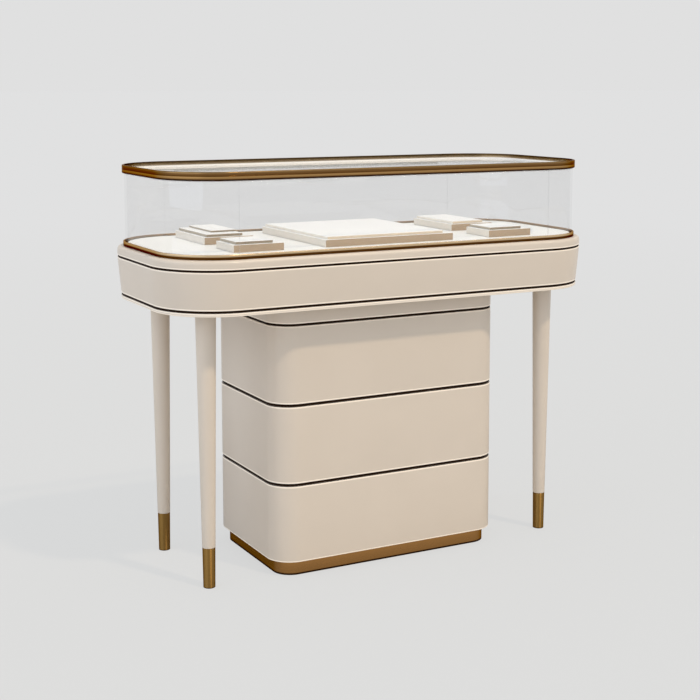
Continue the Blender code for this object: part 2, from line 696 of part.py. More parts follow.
make_plinth()
make_carcass()
make_neck()
make_back_panel()
make_drawers()
make_body()
make_well()
make_lid()
make_legs()
make_risers()
make_power_unit()
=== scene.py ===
import math

import bpy
import numpy as np
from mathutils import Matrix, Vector


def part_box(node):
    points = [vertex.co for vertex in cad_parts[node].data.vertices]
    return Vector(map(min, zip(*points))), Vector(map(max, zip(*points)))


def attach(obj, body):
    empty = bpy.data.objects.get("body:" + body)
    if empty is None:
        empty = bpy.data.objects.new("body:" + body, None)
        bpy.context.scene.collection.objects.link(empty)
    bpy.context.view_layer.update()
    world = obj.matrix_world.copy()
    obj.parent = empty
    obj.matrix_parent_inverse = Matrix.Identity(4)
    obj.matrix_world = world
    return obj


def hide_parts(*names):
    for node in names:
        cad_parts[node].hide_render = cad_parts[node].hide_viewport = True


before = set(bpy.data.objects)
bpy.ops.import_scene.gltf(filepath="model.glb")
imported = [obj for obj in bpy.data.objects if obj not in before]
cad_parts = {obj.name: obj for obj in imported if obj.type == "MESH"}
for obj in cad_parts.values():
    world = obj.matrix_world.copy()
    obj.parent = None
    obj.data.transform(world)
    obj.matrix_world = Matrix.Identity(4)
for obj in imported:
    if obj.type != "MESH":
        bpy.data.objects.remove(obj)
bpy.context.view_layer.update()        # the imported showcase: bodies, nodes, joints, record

print("frame loaded:", len(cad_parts), "nodes")


# Camera

cameraView = dict(
    place=(-1.6687, -3.1598, 1.1959),
    tilt=82.904,            # degrees up from straight down
    turn=-28.301,           # degrees about the vertical
    lens=71.006,            # mm on a sensor 36 mm wide
    shift=(-0.0238, -0.13),
)


def makeCamera(view):
    # the photo's viewpoint; the shift moves the picture without tilting the camera
    data = bpy.data.cameras.new("photoCamera")
    data.lens = view["lens"]
    data.shift_x, data.shift_y = view["shift"]
    data.dof.use_dof = False
    camera = bpy.data.objects.new("photoCamera", data)
    camera.location = view["place"]
    camera.rotation_euler = (math.radians(view["tilt"]), 0, math.radians(view["turn"]))
    bpy.context.scene.collection.objects.link(camera)
    bpy.context.scene.camera = camera


makeCamera(cameraView)
print("camera placed")


# Shader maths

class Wire:
    # wraps a socket, so that an expression on wires adds its Math nodes
    def __init__(self, tree, socket=None):
        self.tree = tree
        self.socket = socket

    def node(self, kind, settings=None, inputs=None, output=0):
        made = self.tree.nodes.new("ShaderNode" + kind)
        for key, value in (settings or {}).items():
            if key == "stops":
                setStops(made.color_ramp, value)
            else:
                setattr(made, key, value)
        for key, value in (inputs or {}).items():
            if isinstance(value, Wire):
                self.tree.links.new(value.socket, made.inputs[key])
            else:
                made.inputs[key].default_value = value
        return Wire(self.tree, made.outputs[output] if made.outputs else None)

    def maths(self, operation, first, second):
        return self.node("Math", {"operation": operation}, {0: first, 1: second})

    def __add__(self, other):
        return self.maths("ADD", self, other)

    def __radd__(self, other):
        return self.maths("ADD", other, self)

    def __sub__(self, other):
        return self.maths("SUBTRACT", self, other)

    def __rsub__(self, other):
        return self.maths("SUBTRACT", other, self)

    def __mul__(self, other):
        return self.maths("MULTIPLY", self, other)

    def __rmul__(self, other):
        return self.maths("MULTIPLY", other, self)

    def __truediv__(self, other):
        return self.maths("DIVIDE", self, other)

    def __rtruediv__(self, other):
        return self.maths("DIVIDE", other, self)

    def __pow__(self, other):
        return self.maths("POWER", self, other)

    def __rpow__(self, other):
        return self.maths("POWER", other, self)


def setStops(ramp, stops):
    # stops are (place from 0 to 1, colour)
    while len(ramp.elements) < len(stops):
        ramp.elements.new(1.0)
    for element, (place, colour) in zip(ramp.elements, stops):
        element.position = place
        element.color = colour


def tone(red, green, blue, alpha=1.0):
    # screen values from 0 to 255 as linear ones: s / 12.92 up to 0.04045, above that
    # ((s + 0.055) / 1.055) to the power of 2.4
    screen = np.array([red, green, blue]) / 255
    linear = np.where(screen <= 0.04045, screen / 12.92, ((screen + 0.055) / 1.055) ** 2.4)
    return (*linear.tolist(), alpha)


def newFinish(name):
    # an empty material, and a wire into its nodes
    finish = bpy.data.materials.new(name)
    finish.use_nodes = True
    finish.node_tree.nodes.clear()
    return finish, Wire(finish.node_tree)


def blendColour(wire, mask, low, high, kind="MIX"):
    # low where the mask is 0 and high where it is 1, or low times high
    return wire.node("Mix", {"data_type": "RGBA", "blend_type": kind}, {0: mask, 6: low, 7: high}, 2)


def objectPlace(wire):
    # metres in the piece's own frame
    return wire.node("TexCoord", output="Object")


def surfacePlace(wire, scale):
    # metres along the sweep and round its section, stretched
    spot = wire.node("TexCoord", output="UV")
    return wire.node("Mapping", None, {"Vector": spot, "Scale": scale})


def noise(wire, place, scale, detail=2.0):
    # a cloud pattern from 0 to 1, with its scale in clouds per metre
    return wire.node("TexNoise", None, {"Vector": place, "Scale": scale, "Detail": detail})


def bump(wire, height, distance):
    # tilts the normal as if the surface rose by height times distance
    return wire.node("Bump", None, {"Height": height, "Distance": distance, "Strength": 1.0})


def greyOf(wire, value):
    # one value as red, green and blue
    return wire.node("CombineColor", None, dict.fromkeys(range(3), value))


def endFinish(wire, shader):
    # the shader is what the material shows
    wire.node("OutputMaterial", None, {"Surface": shader})


# Finishes

noiseMiddle = 0.5        # what a noise swings about

lacquerLook = dict(
    cream=(211, 198, 182),
    shade=(205, 192, 176),
    rubbed=(248, 235, 217),         # painted highlight on the edges along the dark lines
    # painted shade in the gaps between the parts, carried onto their edges
    stain=(29, 14, 4),
    rubbedWidth=0.0027,
    rubbedFade=0.0015,
    crisp=0.0003,                   # from the painted shade to the painted highlight
    lying=0.97,                     # a normal steeper than this is on a flat rim, which stays cream
    driftScale=7.0,
    peelScale=420.0,
    peelDetail=3.0,
    peel=0.00003,
    gloss=0.40,
    glossDrift=0.10,
    coat=0.20,
    coatRough=0.18,
)


def seamDistance(wire, height, seams):
    # metres to the nearest seam, the least of |height - middle| - half its own height
    nearest = 1.0        # farther than any seam is
    for foot, top in seams:
        off = wire.node("Math", {"operation": "ABSOLUTE"}, {0: height - 0.5 * (foot + top)})
        nearest = wire.maths("MINIMUM", off - 0.5 * (top - foot), nearest)
    return nearest


def facesAside(wire, limit):
    # 1 where the size of the normal's height is under the limit, 0 on faces that look up or down
    upright = wire.node("SeparateXYZ", None, {0: wire.node("NewGeometry", output="Normal")}, "Z")
    return wire.maths("LESS_THAN", wire.node("Math", {"operation": "ABSOLUTE"}, {0: upright}), limit)


def edgeStops(look, reach):
    # painted shade at the seam, then the painted highlight, with how strong each is as its alpha, from the
    # seam out to the reach
    pale = look["rubbed"]
    stops = [(0.0, tone(*look["stain"])), (look["crisp"], tone(*pale)), (look["rubbedWidth"], tone(*pale))]
    stops.append((reach, tone(*pale, 0.0)))
    return [(at / reach, colour) for at, colour in stops]


def creamLacquer(name, look, seams=()):
    # sprayed satin lacquer: slow drift of the colour, a fine orange peel in the gloss, a painted highlight on
    # the edges beside the dark lines and painted shade where they meet the gaps
    finish, wire = newFinish(name)
    place = objectPlace(wire)
    drift = noise(wire, place, look["driftScale"])
    peel = noise(wire, place, look["peelScale"], look["peelDetail"])
    colour = blendColour(wire, drift, tone(*look["cream"]), tone(*look["shade"]))
    if seams:
        reach = look["rubbedWidth"] + look["rubbedFade"]
        height = wire.node("SeparateXYZ", None, {0: place}, "Z")
        away = seamDistance(wire, height, seams) / reach
        ramp = {"stops": edgeStops(look, reach)}
        strength = wire.node("ValToRGB", ramp, {0: away}, "Alpha") * facesAside(wire, look["lying"])
        colour = blendColour(wire, strength, colour, wire.node("ValToRGB", ramp, {0: away}))
    shader = wire.node("BsdfPrincipled", None, {
        "Base Color": colour,
        "Roughness": look["gloss"] + look["glossDrift"] * (drift - noiseMiddle),
        "Normal": bump(wire, peel, look["peel"]),
        "Coat Weight": look["coat"],
        "Coat Roughness": look["coatRough"],
    })
    endFinish(wire, shader)
    return finish


brassLook = dict(
    gloss=0.25,
    glossSwing=0.20,
    streak=0.05,
    brush=0.000008,
    fineLines=(9.0, 1800.0, 1.0),   # how often a noise repeats in a metre along and across the lines
    broadLines=(2.5, 420.0, 1.0),
    drawn=0.0,
    drawnTurn=0.25,
    rim=(184, 146, 96),
)
turnedLook = dict(brassLook, gloss=0.46, drawn=0.95)


def brushedBrass(name, bands, look):
    # brushed lines run along the sweep, and the bands lie round the section, from 0 to 1 of its girth;
    # a band's fourth number, where it has one, is its share of metal
    finish, wire = newFinish(name)
    girth = bands["girth"]
    around = wire.node("SeparateXYZ", None, {0: surfacePlace(wire, (1.0, 1.0 / girth, 1.0))}, "Y")
    ramp = {"stops": [(at, tone(*shown)) for at, shown in bands["stops"]]}
    colour = wire.node("ValToRGB", ramp, {0: around})
    fine = noise(wire, surfacePlace(wire, look["fineLines"]), 1.0)
    broad = noise(wire, surfacePlace(wire, look["broadLines"]), 1.0)
    lines = 0.5 * (fine + broad)
    grey = greyOf(wire, 1.0 + 2.0 * look["streak"] * (lines - noiseMiddle))
    shader = wire.node("BsdfPrincipled", None, {
        "Base Color": blendColour(wire, 1.0, colour, grey, "MULTIPLY"),
        "Roughness": look["gloss"] + look["glossSwing"] * (lines - noiseMiddle),
        "Metallic": wire.node("ValToRGB", ramp, {0: around}, "Alpha") if bands.get("lined") else 1.0,
        "Normal": bump(wire, fine, look["brush"]),
        "Specular Tint": tone(*look["rim"]),
        "Anisotropic": look["drawn"],
        "Anisotropic Rotation": look["drawnTurn"],
    })
    endFinish(wire, shader)
    return finish


glassLook = dict(
    clear=(252, 252, 252),
    straight=0.045,
    grazing=0.16,
    steepness=5.0,
    smear=0.006,
    smearScale=14.0,
    smearDetail=4.0,
    rough=0.015,
)


def clearGlass(look):
    # coated display glass: the mirror share rises with the fifth power of 1 - cosine, plus a faint smear
    finish, wire = newFinish("clearGlass")
    facing = wire.node("LayerWeight", None, {"Blend": 0.5}, "Facing")     # a half gives 1 - cosine
    smear = noise(wire, objectPlace(wire), look["smearScale"], look["smearDetail"])
    mirror = look["straight"] + look["grazing"] * facing ** look["steepness"] + look["smear"] * smear
    through = wire.node("BsdfTransparent", None, {"Color": tone(*look["clear"])})
    gloss = wire.node("BsdfGlossy", None, {"Color": (1, 1, 1, 1), "Roughness": look["rough"]})
    endFinish(wire, wire.node("MixShader", None, {0: mirror, 1: through, 2: gloss}))
    return finish


clothLook = dict(
    top=(253, 252, 248),
    turn=(0.45, 0.75),       # from the side's colour to the top's or the front's, by the normal: painted light on the tops, painted shade on the fronts
    thread=0.0009,
    weave=0.3,
    fibreScale=600.0,
    fibreDetail=3.0,
    shade=(0.95, 0.10),
    rough=(0.78, 0.14),
    relief=0.00006,
    sheen=0.25,
    sheenRough=0.4,
)
# painted light and shade: the side's, front's and top's colours follow the way each face turns
blockLook = dict(clothLook, front=(172, 148, 119), side=(231, 222, 208))
boardLook = dict(clothLook, front=(216, 199, 175), side=(240, 232, 218))
# painted shade on the fronts and sides of the smaller risers' boards
shadedBoardLook = dict(clothLook, front=(146, 130, 106), side=(176, 163, 142))


def riserCloth(name, look):
    # fine cloth wrapped round board: painted light makes it pale on top and painted shade makes it tan to the
    # front; the threads are a sum of sine waves along the three axes, and shade and roughness are a base plus
    # a swing times the fibres
    finish, wire = newFinish(name)
    place = objectPlace(wire)
    facing = wire.node("NewGeometry", output="Normal")
    upright = wire.node("SeparateXYZ", None, {0: facing}, "Z")
    ahead = wire.node("SeparateXYZ", None, {0: facing}, "Y") * -1.0
    steps = {"stops": list(zip(look["turn"], ((0, 0, 0, 1), (1, 1, 1, 1))))}
    onTop = wire.node("ValToRGB", steps, {0: upright})
    onFront = wire.node("ValToRGB", steps, {0: ahead})
    waves = 2.0 * math.pi / look["thread"]
    threads = 1.0
    for axis in "XYZ":
        along = wire.node("SeparateXYZ", None, {0: place}, axis)
        threads = threads + look["weave"] * wire.node("Math", {"operation": "SINE"}, {0: along * waves})
    fibre = noise(wire, place, look["fibreScale"], look["fibreDetail"])
    sides = blendColour(wire, onFront, tone(*look["side"]), tone(*look["front"]))
    colour = blendColour(wire, onTop, sides, tone(*look["top"]))
    least, swing = look["shade"]
    shade = greyOf(wire, least + swing * fibre)
    rough, roughSwing = look["rough"]
    shader = wire.node("BsdfPrincipled", None, {
        "Base Color": blendColour(wire, 1.0, colour, shade, "MULTIPLY"),
        "Roughness": rough + roughSwing * fibre,
        "Normal": bump(wire, threads + fibre, look["relief"]),
        "Sheen Weight": look["sheen"],
        "Sheen Roughness": look["sheenRough"],
    })
    endFinish(wire, shader)
    return finish


# stained and matt, a little lighter where the pores show
darkLook = dict(
    ground=(29, 14, 4), grain=(40, 22, 8), broad=(160.0, 4.0),
    rough=0.58, swing=0.15, relief=0.00004, sockets={"Specular IOR Level": 0.08},
)
# matt white laminate with a fine grain
deckLook = dict(
    ground=(250, 250, 247), grain=(247, 247, 242), broad=(9.0, 2.0), fine=(900.0, 2.0),
    rough=0.46, swing=0.12, relief=0.00003,
)
# birch grain, drawn out along the length
birchLook = dict(
    ground=(206, 182, 146), grain=(178, 148, 108), stretch=(3.0, 40.0, 40.0),
    broad=(1.0, 5.0), fine=(9.0, 3.0), fineShare=0.3, rough=0.50, swing=0.18, relief=0.00006,
)
# plated strip: small flowers of zinc, drawn along the run
zincLook = dict(
    ground=(236, 236, 236), grain=(218, 219, 220), stretch=(300.0, 40.0, 300.0), broad=(1.0, 3.0),
    rough=0.30, swing=0.16, sockets={"Metallic": 1.0},
)
# a pearl coat baked on steel: an even soft sheen with a fine grain
pearlLook = dict(ground=(253, 253, 252), grain=(246, 246, 245), broad=(1500.0, 2.0), rough=0.55, swing=0.15)
# milky silicone, a little clouded
siliconeLook = dict(ground=(236, 236, 232), grain=(224, 225, 221), broad=(120.0, 2.0), rough=0.40, swing=0.10)
# moulded case with a spark-eroded grain
plasticLook = dict(
    ground=(30, 30, 31), grain=(46, 46, 48), broad=(30.0, 3.0), fine=(1400.0, 2.0),
    rough=0.42, swing=0.14, relief=0.00005,
)


def grainFinish(name, look):
    # the broad noise, with a share of the fine one where there is one, mixes two colours; the roughness is
    # its base plus its swing times the fine noise, and the fine noise lifts the surface by the relief
    finish, wire = newFinish(name)
    place = objectPlace(wire)
    if "stretch" in look:
        place = wire.node("Mapping", None, {"Vector": place, "Scale": look["stretch"]})
    broad = noise(wire, place, *look["broad"])
    fine = noise(wire, place, *look["fine"]) if "fine" in look else broad
    mask = broad
    if "fineShare" in look:
        mask = (1.0 - look["fineShare"]) * broad + look["fineShare"] * fine
    sockets = {
        "Base Color": blendColour(wire, mask, tone(*look["ground"]), tone(*look["grain"])),
        "Roughness": look["rough"] + look["swing"] * fine,
        **look.get("sockets", {}),
    }
    if "relief" in look:
        sockets["Normal"] = bump(wire, fine, look["relief"])
    endFinish(wire, wire.node("BsdfPrincipled", None, sockets))
    return finish


diffuserLook = dict(
    opal=(246, 243, 234),
    spot=(228, 224, 212),
    pitch=0.0167,
    rough=0.45,
    swing=0.05,
    glow=16.0,
)


def opalDiffuser(look):
    # opal cover: a sine wave along it shows each light chip behind it as a faint brighter spot
    finish, wire = newFinish("opalDiffuser")
    along = wire.node("SeparateXYZ", None, {0: objectPlace(wire)}, "X")
    chips = wire.node("Math", {"operation": "SINE"}, {0: along * (2.0 * math.pi / look["pitch"])})
    colour = blendColour(wire, 0.5 + 0.5 * chips, tone(*look["spot"]), tone(*look["opal"]))
    shader = wire.node("BsdfPrincipled", None, {
        "Base Color": colour,
        "Roughness": look["rough"] + look["swing"] * chips,
        "Emission Color": colour,
        "Emission Strength": look["glow"],
    })
    endFinish(wire, shader)
    return finish


# how far the painted shade goes over the edges
seamLook = dict(drawers=0.0008, lower=0.0003, clear=-0.0004)


def seam(below, above, stain):
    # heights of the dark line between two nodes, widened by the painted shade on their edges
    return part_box(below)[1].z - stain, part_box(above)[0].z + stain


def footSeam(node, stain):
    # the same at a node's foot, where no line is
    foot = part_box(node)[0].z
    return foot - stain, foot + stain


bodySeams = [
    footSeam("body_base", seamLook["clear"]),
    seam("body_base", "apron", seamLook["lower"]),
    seam("apron", "body_cap", seamLook["clear"]),
]
cabinetSeams = [
    footSeam("lower_drawer_front", seamLook["clear"]),
    seam("lower_drawer_front", "middle_drawer_front", seamLook["drawers"]),
    seam("middle_drawer_front", "upper_drawer_front", seamLook["drawers"]),
    seam("upper_drawer_front", "cabinet_neck", seamLook["clear"]),
]
cream = creamLacquer("creamLacquer", lacquerLook)
creamBody = creamLacquer("creamBody", lacquerLook, bodySeams)
creamCabinet = creamLacquer("creamCabinet", lacquerLook, cabinetSeams)
brown = grainFinish("darkBrown", darkLook)
glass = clearGlass(glassLook)
white = grainFinish("whiteDeck", deckLook)
blockCloth = riserCloth("blockCloth", blockLook)
boardCloth = riserCloth("boardCloth", boardLook)
bandedCloth = riserCloth("bandedCloth", shadedBoardLook)
birch = grainFinish("birchBoard", birchLook)
zinc = grainFinish("zincSteel", zincLook)
pearl = grainFinish("pearlCoat", pearlLook)
silicone = grainFinish("paleSilicone", siliconeLook)
plastic = grainFinish("blackPlastic", plasticLook)
opal = opalDiffuser(diffuserLook)
print("finishes made")


# Surfaces

def runLength(points, loop):
    # metres from the first point to each point, and round to the first again where the line closes
    line = np.concatenate([points, points[:1]]) if loop else points
    steps = np.linalg.norm(np.diff(line, axis=0), axis=1)
    return np.concatenate([[0.0], np.cumsum(steps)])


def easedLine(corners, radii, loop=True, steps=4):
    # a line of straight runs with eased corners: from one radius before a corner to one radius after it,
    # the line is (1-s)^2 before + 2s(1-s) corner + s^2 after
    corner = np.array(corners, float)
    radius = np.broadcast_to(np.array(radii, float), len(corner))[:, None]
    toLast = np.roll(corner, 1, 0) - corner
    toNext = np.roll(corner, -1, 0) - corner
    before = corner + radius * toLast / np.linalg.norm(toLast, axis=1, keepdims=True)
    after = corner + radius * toNext / np.linalg.norm(toNext, axis=1, keepdims=True)
    s = np.linspace(0, 1, steps + 1)[None, :, None]
    eased = (1 - s) ** 2 * before[:, None] + 2 * s * (1 - s) * corner[:, None] + s ** 2 * after[:, None]
    if loop:
        return eased.reshape(-1, 2)
    return np.concatenate([corner[:1], eased[1:-1].reshape(-1, 2), corner[-1:]])


def arcWays(start, end, steps):
    # unit directions of an arc, from one angle to another in degrees
    angle = np.radians(np.linspace(start, end, steps + 1))
    return np.stack([np.cos(angle), np.sin(angle)], 1)


def ringPath(middle, half, radius, steps):
    # a rectangle with round corners: four quarter circles about the corner centres, each point with
    # its outward direction
    ways = np.concatenate([arcWays(start, start + 90, steps) for start in (-90, 0, 90, 180)])
    signs = np.repeat([[1, -1], [1, 1], [-1, 1], [-1, -1]], steps + 1, axis=0)
    base = np.array(middle) + signs * (np.array(half) - radius) + radius * ways
    return base, ways


def shellPath(half, radius, tip, side, steps):
    # a U in plan: down one side, round two quarter circles, up the other side to the same tip
    ways = np.concatenate([[[-1, 0]], arcWays(180, 270, steps), arcWays(270, 360, steps), [[1, 0]]])
    signs = np.repeat([[-1.0], [1.0]], steps + 2, axis=0)
    centre = np.concatenate([signs, -np.ones_like(signs)], 1) * (np.array(half) - radius)
    base = centre + radius * ways
    base[[0, -1], 1] = tip * -side
    return base * (1, -side), ways * (1, -side)


def carry(path, profile):
    # a profile carried along a path: path point - inset * outward direction, at the profile's height
    base, ways = path
    inset = profile[None, :, :1]
    flat = base[:, None] - inset * ways[:, None]
    height = np.broadcast_to(profile[None, :, 1:], flat.shape[:2] + (1,))
    return np.concatenate([flat, height], 2)


def skin(grid, uLoop, vLoop):
    # a face for each cell of the grid; a closed direction joins its last row to its first, and where only
    # one direction is closed, a flat face closes each open end. The map is in metres along both ways.
    nu, nv = grid.shape[:2]
    a, b = np.meshgrid(np.arange(nu - 1 + uLoop), np.arange(nv - 1 + vLoop), indexing="ij")
    atU = np.stack([a, a + 1, a + 1, a], -1).reshape(-1, 4)
    atV = np.stack([b, b, b + 1, b + 1], -1).reshape(-1, 4)
    faces = (atU % nu) * nv + atV % nv
    along = runLength(grid[:, 0], uLoop)[atU]
    around = runLength(grid[0], vLoop)[atV]
    points = grid.reshape(-1, 3)
    index = np.arange(nu * nv).reshape(nu, nv)
    caps = []
    if uLoop and not vLoop:
        caps = [index[::-1, 0], index[:, -1]]
    if vLoop and not uLoop:
        caps = [index[0], index[-1, ::-1]]
    a, b, c, d = (points[faces[:, i]] for i in range(4))
    volume = np.sum(a * np.cross(b, c)) + np.sum(a * np.cross(c, d))
    for cap in caps:
        rim = points[cap]
        volume += np.sum(rim[0] * np.cross(rim[1:-1], rim[2:]))
    turn = -1 if volume < 0 else 1
    faces = [face[::turn] for face in faces.tolist()] + [cap[::turn].tolist() for cap in caps]
    spots = np.stack([along, around], -1)[:, ::turn].reshape(-1, 2)
    capSpots = [points[cap[::turn]] @ [[1.0, 0.0], [1.0, 0.0], [0.0, 1.0]] for cap in caps]
    return points, faces, np.concatenate([spots, *capSpots])


smoothAngle = math.radians(35)


def addPiece(name, skins, finish, body, slot, *nodes):
    # joins skins into one mesh, and says what carries it and which solids it stands for
    points, faces, spots, count = [], [], [], 0
    for skinPoints, skinFaces, skinSpots in skins:
        points.append(skinPoints)
        faces += [[i + count for i in face] for face in skinFaces]
        spots.append(skinSpots)
        count += len(skinPoints)
    mesh = bpy.data.meshes.new(name)
    mesh.from_pydata(np.concatenate(points), [], faces)
    layer = mesh.uv_layers.new(name="surfaceMap")
    layer.uv.foreach_set("vector", np.concatenate(spots).astype(np.float32).ravel())
    mesh.shade_smooth()
    mesh.set_sharp_from_angle(angle=smoothAngle)
    mesh.materials.append(finish)
    piece = bpy.data.objects.new(name, mesh)
    bpy.context.scene.collection.objects.link(piece)
    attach(piece, body)
    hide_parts(*nodes)
    return piece


def dressNodes(finish, *nodes):
    # gives solids that keep their shape a finish
    for node in nodes:
        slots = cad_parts[node].data.materials
        slots.clear()
        slots.append(finish)


def span(node):
    # lowest and highest corners of a solid, as arrays
    low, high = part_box(node)
    return np.array(low), np.array(high)


def levels(node):
    # heights of a solid's foot and top
    low, high = span(node)
    return low[2], high[2]


def wallLine(outer, inner, foot, top):
    # section of an upright wall: up its outer side and down its inner side
    return [(outer, foot), (outer, top), (inner, top), (inner, foot)]


def plateLine(outer, inner, foot, top):
    # section of a plate's rim: out along its lower face, up, and back along its upper face
    return [(inner, foot), (outer, foot), (outer, top), (inner, top)]


def pieceName(node):
    # a node's name in camel case
    first, *rest = node.split("_")
    return first + "".join(word.capitalize() for word in rest)


flatShare = 0.98         # of a corner's radius, where a block's flat faces begin


def softBox(low, high, cornerRound, edgeRound, steps=5):
    # a block: a rounded rectangle in plan, with eased upper and lower edges
    middle = (low + high)[:2] / 2
    half = (high - low)[:2] / 2
    path = ringPath(middle, half, cornerRound, steps)
    line = plateLine(0, flatShare * cornerRound, low[2], high[2])
    return skin(carry(path, easedLine(line, edgeRound, loop=False, steps=steps)), True, False)


def turnedPiece(middle, profile, steps):
    # a profile of (radius, height) turned about an upright axis
    ways = arcWays(0, 360, steps)[:-1]
    base = np.broadcast_to(np.array(middle), ways.shape)
    return skin(carry((base, ways), profile * (-1, 1)), True, False)


# Body: cap, apron, base and the two dark inlays, all on one plan

bodyPlan = dict(radius=0.168, steps=48)
bodyHalf = span("apron")[1][:2]
bodyPath = ringPath((0, 0), bodyHalf, bodyPlan["radius"], bodyPlan["steps"])


def bodyInset(node):
    # how far a solid's outline lies inside the body's
    return bodyHalf[0] - span(node)[1][0]


capShape = dict(upperRound=0.010, lowerRound=0.0009, top=0.030)
apronShape = dict(wall=0.018, edge=0.0009)
baseShape = dict(lowerRound=0.003, upperRound=0.0008, floor=0.030)
inlayShape = dict(width=0.030, edge=0.0004)


def makeBody():
    # each board is a profile of (inset, height) carried round the body's plan
    foot, top = levels("body_cap")
    line = plateLine(0, capShape["top"], foot, top)
    rounds = [0, capShape["lowerRound"], capShape["upperRound"], 0]
    grid = carry(bodyPath, easedLine(line, rounds, loop=False, steps=10))
    addPiece("bodyCap", [skin(grid, True, False)], creamBody, "stand", "lacquer", "body_cap")

    foot, top = levels("apron")
    taper = bodyInset("body_base")
    inside = taper + apronShape["wall"]
    line = [(taper, foot), (0, top), (inside, top), (inside, foot)]
    grid = carry(bodyPath, easedLine(line, apronShape["edge"], steps=6))
    addPiece("apron", [skin(grid, True, True)], creamBody, "stand", "lacquer", "apron")

    foot, top = levels("body_base")
    line = plateLine(taper, baseShape["floor"], foot, top)
    rounds = [0, baseShape["lowerRound"], baseShape["upperRound"], 0]
    grid = carry(bodyPath, easedLine(line, rounds, loop=False, steps=8))
    addPiece("bodyBase", [skin(grid, True, False)], creamBody, "stand", "lacquer", "body_base")

    for node in ("upper_inlay", "lower_inlay"):
        foot, top = levels(node)
        outer = bodyInset(node)
        inner = outer + inlayShape["width"]
        line = wallLine(outer, inner, foot, top)
        grid = carry(bodyPath, easedLine(line, inlayShape["edge"], steps=3))
        addPiece(pieceName(node), [skin(grid, True, True)], brown, "stand", "dark_line", node)


makeBody()
print("body made")


# Display well: brass base ring, deck, gasket and four panes

ringShape = dict(wall=0.005, upperRound=0.0018, lowerRound=0.0004)
deckShape = dict(edge=0.0006, floor=0.040)
gasketShape = dict(width=0.006, edge=0.0007)
paneShape = dict(thickness=0.006, arris=0.0007, seam=0.0006)


def makeWell():
    # ring, deck and gasket are profiles carried round the body's plan
    foot, top = levels("base_ring")
    outer = bodyInset("base_ring")
    inner = outer + ringShape["wall"]
    line = wallLine(outer, inner, foot, top)
    lower, upper = ringShape["lowerRound"], ringShape["upperRound"]
    rounds = [lower, upper, upper, lower]
    profile = easedLine(line, rounds, steps=8)
    girth = runLength(profile, True)[-1]
    face = (top - foot) / girth
    # painted shade on the lower half of the outer face, a painted highlight on its upper half, and painted
    # shade again along the underside
    bands = dict(girth=girth, stops=[
        (0.00, (84, 48, 10)), (0.50 * face, (92, 56, 15)), (0.62 * face, (206, 178, 140)),
        (face, (226, 200, 162)), (face + 0.12, (170, 136, 90)), (0.97, (150, 118, 74)), (1.0, (88, 52, 14)),
    ])
    brass = brushedBrass("ringBrass", bands, brassLook)
    addPiece("baseRing", [skin(carry(bodyPath, profile), True, True)], brass, "stand", "brass", "base_ring")

    foot, top = levels("deck_panel")
    outer = bodyInset("deck_panel")
    line = plateLine(outer, deckShape["floor"], foot, top)
    grid = carry(bodyPath, easedLine(line, deckShape["edge"], loop=False))
    addPiece("deckPanel", [skin(grid, True, False)], white, "stand", "deck", "deck_panel")

    foot, top = levels("lid_gasket")
    outer = bodyInset("lid_gasket")
    inner = outer + gasketShape["width"]
    line = wallLine(outer, inner, foot, top)
    grid = carry(bodyPath, easedLine(line, gasketShape["edge"]))
    addPiece("lidGasket", [skin(grid, True, True)], silicone, "stand", "gasket", "lid_gasket")


def panePath(side):
    # a bent end pane: straight off the seam, round two quarter circles, straight back to the seam
    steps = bodyPlan["steps"]
    radius = bodyPlan["radius"]
    ways = np.concatenate([[[0, -1]], arcWays(-90, 0, steps), arcWays(0, 90, steps), [[0, 1]]])
    signs = np.repeat([[1, -1], [1, 1]], steps + 2, axis=0)
    base = signs * (bodyHalf - radius) + radius * ways
    base[[0, -1], 0] += paneShape["seam"]
    base[[1, -2], 0] += 2 * paneShape["seam"]
    return base * (side, 1), ways * (side, 1)


def makePanes():
    # one wall section, carried along two straight runs and round two bent ends
    foot, top = levels("front_glass")
    outer = bodyInset("right_end_glass")
    inner = outer + paneShape["thickness"]
    line = wallLine(outer, inner, foot, top)
    profile = easedLine(line, paneShape["arris"], steps=2)
    seam = bodyHalf[0] - bodyPlan["radius"]
    paths = {"left_end_glass": panePath(-1), "right_end_glass": panePath(1)}
    for node, side in (("front_glass", -1.0), ("rear_glass", 1.0)):
        ends = np.array([[-seam, side * bodyHalf[1]], [seam, side * bodyHalf[1]]])
        paths[node] = ends, np.array([[0.0, side], [0.0, side]])
    for node, path in paths.items():
        addPiece(pieceName(node), [skin(carry(path, profile), False, True)], glass, "stand", "glass", node)


makeWell()
makePanes()
print("display well made")


# Lid: brass frame with a fine groove, recessed pane, light strip

lidShape = dict(
    wall=0.006, ledge=0.010, ledgeThickness=0.0014,
    edge=0.0028, innerEdge=0.0012, stepEdge=0.0004, ledgeEdge=0.0005,
    grooveAt=0.55, grooveWidth=0.0014, grooveDepth=0.0007, grooveEdge=0.0003,
)
lidPaneShape = dict(arris=0.0006, floor=0.060)


